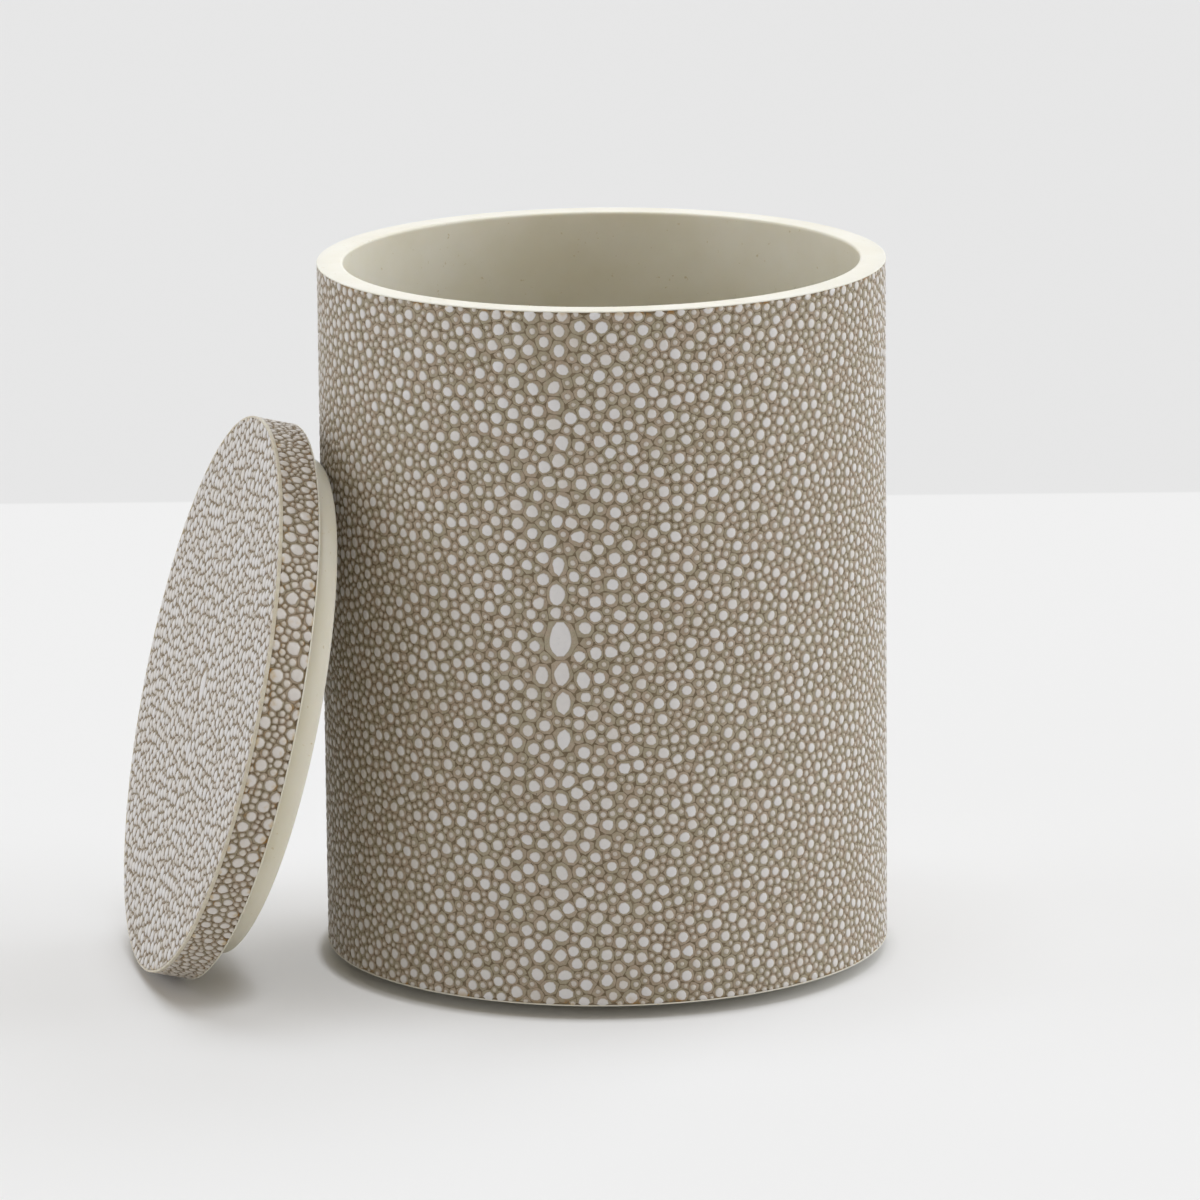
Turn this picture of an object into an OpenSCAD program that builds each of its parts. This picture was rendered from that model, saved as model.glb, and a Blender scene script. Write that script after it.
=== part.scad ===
// Round vanity canister for cotton pads, with its flat lid leaning against it.
// The canister is a cream resin cup, wrapped in shagreen and raised on a small foot.
// The lid is a resin disc with shagreen on its face and edge, and a plug that drops
// into the canister's mouth.
// Millimetres, +Z up. The origin is on the table, under the middle of the canister.
// The front looks towards -Y.

/* [Overall] */
// Outside diameter of the canister, over its wrap
canister_d = 100; // [80:1:130]
// Height of the canister's wall, from its lower edge up to the rim
wall_h = 122.4; // [100:0.1:170]
// Height that the foot holds the wall's lower edge above the table
foot_h = 2.4; // [1.6:0.1:6]

/* [Canister] */
// Thickness of the resin wall under the wrap
wall_t = 4; // [3:0.1:7]
// Thickness of the canister's floor
floor_t = 5; // [4:0.1:12]
// Width of the step inside the wall's lower end that seats the floor
step_w = 1.6; // [0.8:0.1:2.4]
// Height of that step
step_h = 3; // [1.5:0.1:3.6]
// Bevel inside the mouth
mouth_bevel = 0.4; // [0.2:0.1:1]

/* [Shagreen] */
// Thickness of the shagreen sheet
sheet_t = 0.6; // [0.4:0.05:1]
// Height of the cream edge left bare above and below a sheet
bare_edge = 0.2; // [0.15:0.05:0.6]
// Gap at the butt seam where the two ends of a strip meet
seam_w = 0.15; // [0.1:0.05:0.4]
// Bearing of the middle of the hide, the row of large pearls on the wrap
spine_bearing = 262; // [200:1:340]

/* [Foot] */
// Distance from the canister's outside in to the foot's edge
foot_inset = 10; // [6:0.5:16]
// Thickness of the felt under the foot
felt_t = 0.8; // [0.5:0.1:1.2]
// Distance from the foot's edge in to the felt's edge
felt_inset = 1.5; // [0.5:0.1:4]

/* [Lid] */
// Thickness of the lid above the rim, with its shagreen face
lid_h = 7.4; // [5:0.1:14]
// How far the lid's edge stays inside the canister's outside
lid_inset = 0.2; // [0:0.1:1]
// Height of the cream corner line between the face and the edge strip
corner_line = 0.75; // [0.4:0.05:1.5]
// Width of the same line on the face
face_margin = 0.4; // [0.3:0.05:1.5]
// Depth of the plug that drops into the mouth
plug_h = 4.8; // [3:0.1:10]
// Clearance between the plug and the mouth, on the radius
plug_clearance = 1; // [0.4:0.1:2]
// Bevel round the plug's lower edge
plug_bevel = 0.5; // [0.2:0.1:1]

/* [Leaning lid] */
// Bearing from the canister's middle to the point that the lid leans on
lean_bearing = 190.5; // [170:0.5:350]
// Turn of the lid's face away from that bearing
lean_turn = 1.6; // [-4:0.1:4]
// Angle of the lid's face back from upright
lean_tilt = 14.1; // [8:0.1:20]
// Clearance between the plug's edge and the wrap
lean_gap = 0.3; // [0.3:0.05:1]

/* [Hidden] */
$fn = 128;

cream = [0.93, 0.91, 0.82];
taupe = [0.66, 0.62, 0.56];
umber = [0.28, 0.24, 0.20];

// Small break on outer corners
edge_break = 0.1;
// How far a cutter runs past what it cuts
cut_past = 1;

canister_r = canister_d / 2;
core_r = canister_r - sheet_t;
inner_r = core_r - wall_t;
wall_bottom = foot_h;
wall_top = foot_h + wall_h;
foot_r = canister_r - foot_inset;
lid_r = canister_r - lid_inset;
lid_core_r = lid_r - sheet_t;
face_r = lid_r - face_margin;
plug_r = inner_r - plug_clearance;
wrap_seam_bearing = spine_bearing + 180;
// On the lid's own axes the strip's seam is on the side away from the front
lid_seam_bearing = 270;

// Distance from the canister's axis to the middle of the plug's end
lean_reach = canister_r + lean_gap + (plug_r - plug_bevel) * sin(lean_tilt);
face_bearing = lean_bearing + lean_turn;
plug_run = plug_h * cos(lean_tilt);
// Middle of the lid's underside, placed so that its lower edge stands on the table
lid_seat = [lean_reach * cos(lean_bearing) + plug_run * cos(face_bearing),
            lean_reach * sin(lean_bearing) + plug_run * sin(face_bearing),
            lid_r * cos(lean_tilt)];

// Turns an outline of radius and height into a round solid
module turned(outline)
    rotate_extrude()
        polygon(outline);

// Disc between two heights
module disc(r, low, high)
    translate([0, 0, low])
        cylinder(r = r, h = high - low);

// Strip of sheet bent into a ring, with its two ends meeting at a seam
module strip(outer_r, low, high, seam_bearing)
    difference() {
        turned([[outer_r - sheet_t, low], [outer_r, low],
                [outer_r, high], [outer_r - sheet_t, high]]);
        rotate(seam_bearing)
            translate([outer_r - sheet_t - cut_past, -seam_w / 2, low - cut_past])
                cube([sheet_t + 2 * cut_past, seam_w, high - low + 2 * cut_past]);
    }

// Stands what is drawn on the lid's own axes against the canister.
// On those axes the underside is at height 0 and the face looks up.
module leaning()
    translate(lid_seat)
        rotate([0, 90 - lean_tilt, face_bearing])
            children();

// Resin tube with a bare edge at each end and a step below for the floor
module cup_wall()
    color(cream)
        turned([[inner_r + step_w, wall_bottom],
                [canister_r - edge_break, wall_bottom],
                [canister_r, wall_bottom + edge_break],
                [canister_r, wall_bottom + bare_edge],
                [core_r, wall_bottom + bare_edge],
                [core_r, wall_top - bare_edge],
                [canister_r, wall_top - bare_edge],
                [canister_r, wall_top - edge_break],
                [canister_r - edge_break, wall_top],
                [inner_r + mouth_bevel, wall_top],
                [inner_r, wall_top - mouth_bevel],
                [inner_r, wall_bottom + step_h],
                [inner_r + step_w, wall_bottom + step_h]]);

// Resin disc glued up into the step
module cup_floor()
    color(cream)
        turned([[0, wall_bottom],
                [inner_r + step_w, wall_bottom],
                [inner_r + step_w, wall_bottom + step_h],
                [inner_r, wall_bottom + step_h],
                [inner_r, wall_bottom + floor_t],
                [0, wall_bottom + floor_t]]);

// Sheet wrapped round the wall between its bare edges
module cup_shagreen()
    color(taupe)
        strip(canister_r, wall_bottom + bare_edge, wall_top - bare_edge, wrap_seam_bearing);

// Plinth set back under the floor, so that the canister seems to float
module foot_disc()
    color(umber)
        disc(foot_r, felt_t, foot_h);

// Felt that the canister stands on
module foot_felt()
    color(umber)
        disc(foot_r - felt_inset, 0, felt_t);

// Resin disc with a shallow recess for the face and a groove round it for the strip
module lid_core()
    color(cream)
        leaning()
            turned([[0, 0],
                    [lid_r, 0],
                    [lid_r, bare_edge],
                    [lid_core_r, bare_edge],
                    [lid_core_r, lid_h - corner_line],
                    [lid_r, lid_h - corner_line],
                    [lid_r, lid_h - edge_break],
                    [lid_r - edge_break, lid_h],
                    [face_r, lid_h],
                    [face_r, lid_h - sheet_t],
                    [0, lid_h - sheet_t]]);

// Round of sheet let into the lid's face
module lid_face_shagreen()
    color(taupe)
        leaning()
            disc(face_r, lid_h - sheet_t, lid_h);

// Strip of sheet round the lid's edge
module lid_edge_shagreen()
    color(taupe)
        leaning()
            strip(lid_r, bare_edge, lid_h - corner_line, lid_seam_bearing);

// Plug that centres the lid in the mouth
module lid_plug()
    color(cream)
        leaning()
            turned([[0, -plug_h],
                    [plug_r - plug_bevel, -plug_h],
                    [plug_r, plug_bevel - plug_h],
                    [plug_r, 0],
                    [0, 0]]);

cup_wall();
cup_floor();
cup_shagreen();
foot_disc();
foot_felt();
lid_core();
lid_face_shagreen();
lid_edge_shagreen();
lid_plug();
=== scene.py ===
import math
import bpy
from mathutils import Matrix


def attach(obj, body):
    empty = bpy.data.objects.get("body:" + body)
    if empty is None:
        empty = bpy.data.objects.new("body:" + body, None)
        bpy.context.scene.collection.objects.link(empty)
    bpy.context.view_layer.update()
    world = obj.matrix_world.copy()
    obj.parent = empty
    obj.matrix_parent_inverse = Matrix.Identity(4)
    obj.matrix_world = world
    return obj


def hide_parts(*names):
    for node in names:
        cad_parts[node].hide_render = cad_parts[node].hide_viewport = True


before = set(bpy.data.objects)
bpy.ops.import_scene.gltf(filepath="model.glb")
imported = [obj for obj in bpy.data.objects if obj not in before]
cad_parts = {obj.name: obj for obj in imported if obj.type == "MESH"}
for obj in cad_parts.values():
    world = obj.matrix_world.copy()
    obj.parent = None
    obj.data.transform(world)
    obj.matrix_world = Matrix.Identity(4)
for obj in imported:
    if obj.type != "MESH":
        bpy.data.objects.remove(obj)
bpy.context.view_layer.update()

from types import SimpleNamespace

import bmesh
import bpy
import numpy as np
from mathutils import Matrix
from mathutils.kdtree import KDTree

# A round canister wrapped in shagreen, with its lid leaning against it.
# Lengths are in millimetres until mm() turns them into Blender's metres, apart from
# those whose names end in _M, which are in metres.
MM = 0.001

# Sizes that the CAD model has too
CANISTER_R = 50.0
SHEET_T = 0.6
CORE_R = CANISTER_R - SHEET_T
INNER_R = 45.4
WALL_LOW = 2.4
WALL_HIGH = 124.8
BARE_EDGE = 0.2
STEP_W = 1.6
STEP_H = 3.0
FLOOR_T = 5.0
SEAM_W = 0.15
SPINE_BEARING = 262.0
FOOT_R = 40.0
FELT_R = 38.5
FELT_T = 0.8
LID_H = 7.4
LID_R = 49.8
LID_CORE_R = LID_R - SHEET_T
FACE_R = 49.4
CORNER_LINE = 0.75
PLUG_R = 44.4
PLUG_H = 4.8
PLUG_BEVEL = 0.5
LID_SEAM_BEARING = 270.0
LEAN_BEARING = 190.5
LEAN_TURN = 1.6
LEAN_TILT = 14.1
LEAN_GAP = 0.3

# Height of the pearls on a shagreen sheet, above the face that is glued down
PEARL_TOP_H = 0.60
# How far the sheet's flat layer lies under its ground
BASE_DEPTH = 0.065
# How far the lid's top corner lies below the pearls' tops
MARGIN_DROP = 0.14

# Flat steps round a turned piece, and along a sheet that is bent round one
ROUND_STEPS = 288
# Steps in a rounded corner, and how far past its ends the next points lie
CORNER_STEPS = 4
CORNER_SUPPORT = 0.25
# Most of a side that the round at one of its ends may take
MOST_OF_SIDE = 0.45
# A point nearer to the axis than this is on it
ON_AXIS_R = 1e-6
# Points nearer to each other than this are joined
WELD_M = 1e-7
# How far off a size may be where it is compared
SLACK = 0.01
# Keeps a length that is divided by above zero
ABOVE_ZERO = 1e-9


def mm(points):
    return np.asarray(points, float) * MM


def srgb(*levels):
    """A colour from its 0 to 255 screen levels."""
    linear = [((v / 255 + 0.055) / 1.055) ** 2.4 if v > 10 else v / 255 / 12.92 for v in levels]
    return (*linear, 1.0)


def lid_frame():
    """Turns and moves the lid's own axes to where it leans, as the CAD model does."""
    tilt = math.radians(LEAN_TILT)
    lean = math.radians(LEAN_BEARING)
    face = math.radians(LEAN_BEARING + LEAN_TURN)
    reach = CANISTER_R + LEAN_GAP + (PLUG_R - PLUG_BEVEL) * math.sin(tilt)
    run = PLUG_H * math.cos(tilt)
    seat = (
        reach * math.cos(lean) + run * math.cos(face),
        reach * math.sin(lean) + run * math.sin(face),
        LID_R * math.cos(tilt),
    )
    turn = Matrix.Rotation(face, 4, "Z") @ Matrix.Rotation(math.pi / 2 - tilt, 4, "Y")
    return Matrix.Translation([v * MM for v in seat]) @ turn


LID_FRAME = lid_frame()


def in_lid(points):
    """Moves points from the lid's own axes, in metres, to where the lid leans."""
    turn = np.array(LID_FRAME.to_3x3())
    return points @ turn.T + np.array(LID_FRAME.translation)


def make_object(name, points, faces, material, body):
    mesh = bpy.data.meshes.new(name)
    mesh.from_pydata(np.asarray(points).tolist(), [], faces)
    mesh.shade_smooth()
    made = bpy.data.objects.new(name, mesh)
    bpy.context.scene.collection.objects.link(made)
    mesh.materials.append(material)
    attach(made, body)
    return made


def rounded(outline):
    """Rounds the corners of an outline given as radius, height and fillet, and adds
    a point beside each round, so that smooth shading keeps the flats flat."""
    done = []
    for i, (r, z, fillet) in enumerate(outline):
        here = np.array([r, z])
        if fillet == 0 or i in (0, len(outline) - 1):
            done.append(here)
            continue
        before = np.array(outline[i - 1][:2]) - here
        after = np.array(outline[i + 1][:2]) - here
        long_before = np.linalg.norm(before)
        long_after = np.linalg.norm(after)
        before = before / long_before
        after = after / long_after
        turn = math.acos(np.clip(before @ after, -1, 1))
        cut = min(fillet / math.tan(turn / 2), MOST_OF_SIDE * long_before, MOST_OF_SIDE * long_after)
        if long_before > 2 * (cut + CORNER_SUPPORT):
            done.append(here + before * (cut + CORNER_SUPPORT))
        start = here + before * cut
        end = here + after * cut
        for step in range(CORNER_STEPS + 1):
            share = step / CORNER_STEPS
            done.append((1 - share) ** 2 * start + 2 * share * (1 - share) * here + share ** 2 * end)
        if long_after > 2 * (cut + CORNER_SUPPORT):
            done.append(here + after * (cut + CORNER_SUPPORT))
    return np.array(done)


def lathe(name, outline, material, body, leaning=False, corner_beige=None):
    """Turns an outline round the axis. It runs up the outside and down the inside.
    Its last argument, if given, says which of its points, given as radius and height, take the darker
    beige of the lid's corner line."""
    ring = rounded(outline)
    angles = np.arange(ROUND_STEPS) * 2 * math.pi / ROUND_STEPS
    x = ring[:, None, 0] * np.cos(angles)
    y = ring[:, None, 0] * np.sin(angles)
    z = np.repeat(ring[:, None, 1], ROUND_STEPS, 1)
    points = mm(np.stack([x, y, z], -1)).reshape(-1, 3)
    rows = len(ring)
    faces = []
    for row in range(rows):
        following = (row + 1) % rows
        if ring[row, 0] < ON_AXIS_R and ring[following, 0] < ON_AXIS_R:
            continue
        for k in range(ROUND_STEPS):
            k2 = (k + 1) % ROUND_STEPS
            corners = [row * ROUND_STEPS + k, row * ROUND_STEPS + k2,
                       following * ROUND_STEPS + k2, following * ROUND_STEPS + k]
            if ring[row, 0] < ON_AXIS_R:
                corners = corners[1:]
            elif ring[following, 0] < ON_AXIS_R:
                corners = corners[:3]
            faces.append(corners)
    if leaning:
        points = in_lid(points)
    made = make_object(name, points, faces, material, body)
    if corner_beige:
        marks = np.repeat([float(corner_beige(r, z)) for r, z in ring], ROUND_STEPS)
        made.data.attributes.new("corner_beige", "FLOAT", "POINT").data.foreach_set("value", marks)
    weld(made)
    return made


def weld(made):
    """Joins the points that a lathe leaves on its axis, and drops loose ones."""
    shape = bmesh.new()
    shape.from_mesh(made.data)
    bmesh.ops.remove_doubles(shape, verts=shape.verts, dist=WELD_M)
    bmesh.ops.delete(shape, geom=[v for v in shape.verts if not v.link_faces], context="VERTS")
    bmesh.ops.recalc_face_normals(shape, faces=shape.faces)
    shape.to_mesh(made.data)
    shape.free()
    made.data.shade_smooth()


def node(tree, kind, inputs=None, **settings):
    made = tree.nodes.new("ShaderNode" + kind)
    for name, value in settings.items():
        setattr(made, name, value)
    for key, value in (inputs or {}).items():
        if isinstance(value, bpy.types.NodeSocket):
            tree.links.new(value, made.inputs[key])
        else:
            made.inputs[key].default_value = value
    return made


def blend(tree, share, first, second):
    """A mix of two colours."""
    made = node(tree, "Mix", data_type="RGBA")
    for index, value in ((0, share), (6, first), (7, second)):
        if isinstance(value, bpy.types.NodeSocket):
            tree.links.new(value, made.inputs[index])
        else:
            made.inputs[index].default_value = value
    return made.outputs[2]


def times(tree, first, second):
    return node(tree, "Math", {0: first, 1: second}, operation="MULTIPLY").outputs[0]


def ramp(tree, value, *stops):
    """A colour ramp with stops given as place and colour."""
    made = node(tree, "ValToRGB", {"Fac": value})
    band = made.color_ramp
    while len(band.elements) < len(stops):
        band.elements.new(1.0)
    for element, (place, colour) in zip(band.elements, stops):
        element.position = place
        element.color = colour
    return made.outputs["Color"]


def spread(tree, value, between, to=(0.0, 1.0)):
    """Turns a value that runs between two numbers into one that runs between two others."""
    made = node(tree, "MapRange", {"Value": value, "From Min": between[0], "From Max": between[1],
                                   "To Min": to[0], "To Max": to[1]})
    return made.outputs["Result"]


def place_of(tree):
    return node(tree, "TexCoord").outputs["Object"]


def attribute(tree, name):
    return node(tree, "Attribute", attribute_name=name).outputs["Fac"]


def noise(tree, size, detail, roughness, stretch=(1, 1, 1)):
    """Noise whose patches are about size millimetres wide."""
    scaled = node(tree, "Mapping", {"Vector": place_of(tree), "Scale": stretch})
    made = node(tree, "TexNoise", {"Vector": scaled.outputs["Vector"], "Scale": 1000 / size,
                                   "Detail": detail, "Roughness": roughness})
    return made.outputs["Fac"]


def patches(tree, size, detail, roughness, between, to=(0.0, 1.0)):
    """Noise in patches, of which the part between two values is spread to two others."""
    return spread(tree, noise(tree, size, detail, roughness), between, to)


def new_material(name, colour, **values):
    """A Principled material. Values that are even all over are set on its own sockets."""
    made = bpy.data.materials.new(name)
    made.use_nodes = True
    made.diffuse_color = colour
    tree = made.node_tree
    surface = tree.nodes["Principled BSDF"]
    for key, value in values.items():
        surface.inputs[key.replace("_", " ")].default_value = value
    return made, tree, surface


def dress(tree, surface, colour, rough, height, depth):
    """Gives a surface its colour, its roughness and a relief of a depth in millimetres."""
    relief = node(tree, "Bump", {"Height": height, "Distance": depth * MM, "Strength": 1.0})
    tree.links.new(colour, surface.inputs["Base Color"])
    tree.links.new(rough, surface.inputs["Roughness"])
    tree.links.new(relief.outputs["Normal"], surface.inputs["Normal"])


# Colours of the materials. The first of each group is the material's plain colour.
RESIN = srgb(233, 229, 213)
RESIN_PALE = srgb(236, 232, 218)
RESIN_WARM = srgb(231, 226, 208)
RESIN_SPECK = srgb(216, 206, 176)
RESIN_CORNER_BEIGE = srgb(200, 189, 168)
PEARL = srgb(222, 217, 211)
PEARL_SMALL = srgb(194, 182, 166)
PEARL_MIDDLING = srgb(208, 201, 193)
PEARL_LARGE = srgb(223, 222, 224)
PEARL_WARM = srgb(205, 193, 175)
PEARL_CLOUD = srgb(236, 233, 231)
PEARL_STAIN = srgb(192, 164, 108)
# Brown of the pearls' rims, partly their own outline and partly painted shade where they meet the
# ground
PEARL_RIM_AND_SHADE = srgb(147, 132, 111)
TAUPE = srgb(156, 144, 126)
TAUPE_AT_LINE = srgb(166, 153, 132)
TAUPE_NEAR_LINE = srgb(175, 163, 143)
TAUPE_INSIDE = srgb(179, 168, 150)
TAUPE_PATCH = srgb(147, 131, 108)
TAUPE_PINK = srgb(178, 154, 135)
TAUPE_OLIVE = srgb(154, 151, 121)
TAUPE_GRAIN = srgb(131, 115, 92)
TAUPE_LINE = srgb(113, 97, 74)
TAUPE_PIT = srgb(81, 67, 48)
TAUPE_STAIN = srgb(138, 116, 76)
AMBER = srgb(150, 110, 50)
HIDE_BACK = srgb(128, 112, 88)
HIDE_BACK_DARK = srgb(110, 94, 71)
HIDE_BACK_PALE = srgb(136, 121, 97)
# The foot's dark umber is painted shade for the recess under the wall; the foot's own colour is not
# seen
UMBER_SHADE = srgb(66, 57, 48)
UMBER_SHADE_DARK = srgb(58, 50, 42)
UMBER_SHADE_PALE = srgb(76, 66, 55)
FELT_PLAIN = srgb(62, 53, 45)
FELT_DARK = srgb(46, 39, 33)
FELT_MIDDLING = srgb(62, 54, 46)
FELT_PALE = srgb(92, 81, 69)
# How far light spreads inside the cream resin, for red, green and blue
RESIN_DEPTHS = (1.0, 0.8, 0.5)
# The felt's fibres are drawn out along one axis
FELT_STRETCH = (1, 2.4, 1)


def cream_resin():
    """Cream resin with a few specks, and a darker beige in patches on the lid's corner line."""
    made, tree, surface = new_material("cream_resin", RESIN, IOR=1.5, Specular_IOR_Level=0.3,
                                       Subsurface_Weight=0.15, Subsurface_Scale=0.002)
    surface.inputs["Subsurface Radius"].default_value = RESIN_DEPTHS
    body = blend(tree, patches(tree, 14, 4, 0.55, (0.35, 0.65)), RESIN_PALE, RESIN_WARM)
    specked = blend(tree, patches(tree, 0.9, 2, 0.5, (0.70, 0.76)), body, RESIN_SPECK)
    # A darker beige, stronger in patches, on the lid's corner line
    corner_beige = times(tree, attribute(tree, "corner_beige"),
                 patches(tree, 1.6, 3, 0.6, (0.3, 0.6), (0.45, 0.95)))
    colour = blend(tree, corner_beige, specked, RESIN_CORNER_BEIGE)
    rough = patches(tree, 6, 5, 0.65, (0.3, 0.7), (0.34, 0.46))
    grain = node(tree, "Math", {0: noise(tree, 3, 3, 0.5), 1: noise(tree, 0.35, 2, 0.5)},
                 operation="ADD")
    dress(tree, surface, colour, rough, grain.outputs[0], 0.008)
    return made


def pearl_material():
    """Polished pearls: whitest where large and browner where small. Round their edge they darken to a
    brown that is partly their own rim and partly painted shade where they meet the ground.
    """
    made, tree, surface = new_material("shagreen_pearls", PEARL, IOR=1.5)
    body = ramp(tree, spread(tree, attribute(tree, "radius"), (0.25, 1.0)),
                (0.0, PEARL_SMALL), (0.35, PEARL_MIDDLING), (1.0, PEARL_LARGE))
    varied = blend(tree, spread(tree, attribute(tree, "tone"), (0.0, 1.0), (0.0, 0.5)), body,
                   PEARL_WARM)
    clouded = blend(tree, patches(tree, 0.8, 3, 0.6, (0.35, 0.75), (0.0, 0.3)), varied,
                    PEARL_CLOUD)
    soaked = times(tree, attribute(tree, "cut"),
                   patches(tree, 2.9, 2, 0.5, (0.50, 0.62), (0.0, 0.7)))
    stained = blend(tree, soaked, clouded, PEARL_STAIN)
    # Painted shade on top of the pearls' own brown rim: their edges and sides darken towards the
    # ground
    colour = blend(tree, spread(tree, attribute(tree, "rim"), (0.0, 1.4)), stained, PEARL_RIM_AND_SHADE)
    rough = patches(tree, 0.5, 3, 0.6, (0.3, 0.7), (0.27, 0.42))
    dress(tree, surface, colour, rough, noise(tree, 0.25, 3, 0.6), 0.006)
    return made


def ground_material():
    """The taupe ground: dark in the lines between the cells, mottled and pitted, and
    stained where the hide is cut."""
    made, tree, surface = new_material("shagreen_ground", TAUPE, IOR=1.45)
    inside = attribute(tree, "inside")
    cut = attribute(tree, "cut")
    body = ramp(tree, spread(tree, inside, (0.0, 0.5)), (0.0, TAUPE_AT_LINE),
                (0.3, TAUPE_NEAR_LINE), (1.0, TAUPE_INSIDE))
    patched = blend(tree, patches(tree, 9, 3, 0.5, (0.35, 0.7), (0.0, 0.35)), body, TAUPE_PATCH)
    tinted = blend(tree, patches(tree, 2.6, 2, 0.5, (0.42, 0.58)),
                   blend(tree, 0.3, patched, TAUPE_PINK), blend(tree, 0.3, patched, TAUPE_OLIVE))
    grained = blend(tree, patches(tree, 0.4, 3, 0.6, (0.4, 0.7), (0.0, 0.35)), tinted,
                    TAUPE_GRAIN)
    faint = times(tree, attribute(tree, "line"),
                  patches(tree, 1.8, 3, 0.6, (0.38, 0.6), (0.15, 1.0)))
    drawn = times(tree, spread(tree, inside, (0.0, 0.05), (1.0, 0.0)), faint)
    lined = blend(tree, drawn, grained, TAUPE_LINE)
    pits = times(tree, patches(tree, 0.42, 1, 0.5, (0.70, 0.74)),
                 patches(tree, 7, 2, 0.5, (0.5, 0.6)))
    pitted = blend(tree, pits, lined, TAUPE_PIT)
    soaked = times(tree, cut, patches(tree, 2.4, 2, 0.5, (0.42, 0.62), (0.4, 1.0)))
    stained = blend(tree, soaked, pitted, TAUPE_STAIN)
    amber = times(tree, cut, patches(tree, 2.9, 2, 0.5, (0.51, 0.59)))
    colour = blend(tree, amber, stained, AMBER)
    rough = patches(tree, 0.7, 3, 0.6, (0.3, 0.7), (0.5, 0.68))
    dress(tree, surface, colour, rough, noise(tree, 0.3, 4, 0.65), 0.02)
    return made


def base_material():
    """The hide under the ground cells, seen at a sheet's edges."""
    made, tree, surface = new_material("shagreen_base", HIDE_BACK, IOR=1.45)
    colour = blend(tree, patches(tree, 1.2, 3, 0.6, (0.35, 0.7)), HIDE_BACK_DARK, HIDE_BACK_PALE)
    rough = patches(tree, 0.6, 3, 0.6, (0.3, 0.7), (0.6, 0.8))
    dress(tree, surface, colour, rough, noise(tree, 0.4, 3, 0.6), 0.03)
    return made


# The foot's dark umber is painted shade: it stands for the shadow in the recess under the wall
def foot_shade_material():
    made, tree, surface = new_material("foot_resin", UMBER_SHADE, IOR=1.5)
    colour = blend(tree, patches(tree, 5, 4, 0.6, (0.3, 0.7)), UMBER_SHADE_DARK, UMBER_SHADE_PALE)
    rough = patches(tree, 2, 3, 0.6, (0.3, 0.7), (0.48, 0.62))
    dress(tree, surface, colour, rough, noise(tree, 0.8, 3, 0.5), 0.02)
    return made


def felt_material():
    made, tree, surface = new_material("felt", FELT_PLAIN, IOR=1.4, Sheen_Weight=0.4,
                                       Sheen_Roughness=0.5)
    fibres = noise(tree, 0.5, 5, 0.75, FELT_STRETCH)
    colour = ramp(tree, fibres, (0.3, FELT_DARK), (0.5, FELT_MIDDLING), (0.72, FELT_PALE))
    dress(tree, surface, colour, spread(tree, fibres, (0.3, 0.7), (0.85, 0.98)), fibres, 0.12)
    return made


CREAM = cream_resin()
PEARLS = pearl_material()
GROUND = ground_material()
BASE = base_material()
FOOT_SHADE = foot_shade_material()
FELT = felt_material()


# A pearl is a row of five numbers: its middle, half its long axis as a vector less
# its own radius, and its radius. The third and fourth are zero for a round one.
#
# A skin says how the pearls of a hide change with the distance from the row of ovals
# down its middle. It gives distances and, at each of them, the width of the large
# pearls, the gaps round large and small ones, the least radius of a small one and how
# dark the lines between the cells are. Its other values are the number of large
# pearls to a square millimetre, the most that a small one's radius may be, the extra
# gap that large ones push for, how far in from a cut edge the stain reaches, how much
# warmer the pearls are, the height of the ground, and whether the pearls are domed.
WRAP_SKIN = SimpleNamespace(
    distance=(0, 6, 13, 28, 45, 60, 170),
    large_width=(2.08, 2.02, 1.88, 1.74, 1.58, 1.48, 1.44),
    large_gap=(0.14, 0.20, 0.32, 0.36, 0.36, 0.36, 0.36),
    small_gap=(0.46, 0.46, 0.44, 0.42, 0.40, 0.38, 0.38),
    least_r=(0.48, 0.46, 0.37, 0.34, 0.28, 0.26, 0.27),
    line=(1.0, 1.0, 1.0, 0.8, 0.45, 0.3, 0.3),
    large_per_mm2=0.13,
    small_r=(0.40, 0.62),
    push=0.25,
    cut_reach=1.1,
    warmth=0.0,
    ground_h=0.44,
    domed=False,
)
LID_SKIN = SimpleNamespace(
    distance=(0, 4, 10, 20, 50),
    large_width=(2.50, 2.44, 2.36, 2.30, 2.24),
    large_gap=(0.12, 0.12, 0.12, 0.12, 0.12),
    small_gap=(0.10, 0.10, 0.10, 0.10, 0.10),
    least_r=(0.34, 0.34, 0.34, 0.34, 0.34),
    line=(1.0, 1.0, 1.0, 1.0, 1.0),
    large_per_mm2=0.17,
    small_r=(0.50, 0.80),
    push=0.05,
    cut_reach=0.6,
    warmth=0.3,
    ground_h=0.27,
    domed=True,
)
EDGE_SKIN = SimpleNamespace(
    distance=(0, 25, 50, 80, 160),
    large_width=(2.50, 2.25, 1.85, 1.50, 1.40),
    large_gap=(0.18, 0.18, 0.17, 0.16, 0.16),
    small_gap=(0.15, 0.15, 0.14, 0.14, 0.14),
    least_r=(0.34, 0.32, 0.28, 0.25, 0.25),
    line=(1.0, 1.0, 1.0, 0.9, 0.9),
    large_per_mm2=0.175,
    small_r=(0.48, 0.75),
    push=0.1,
    cut_reach=3.0,
    warmth=0.9,
    ground_h=0.32,
    domed=True,
)

# Spacing of the grid on which free room is measured, and the most room that it notes
GRID = 0.2
REACH = 3.4
# Pearls' middles stay this far inside a sheet's edge, and this far when they settle
SHEET_MARGIN = 0.1
SETTLE_MARGIN = 0.15
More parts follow.
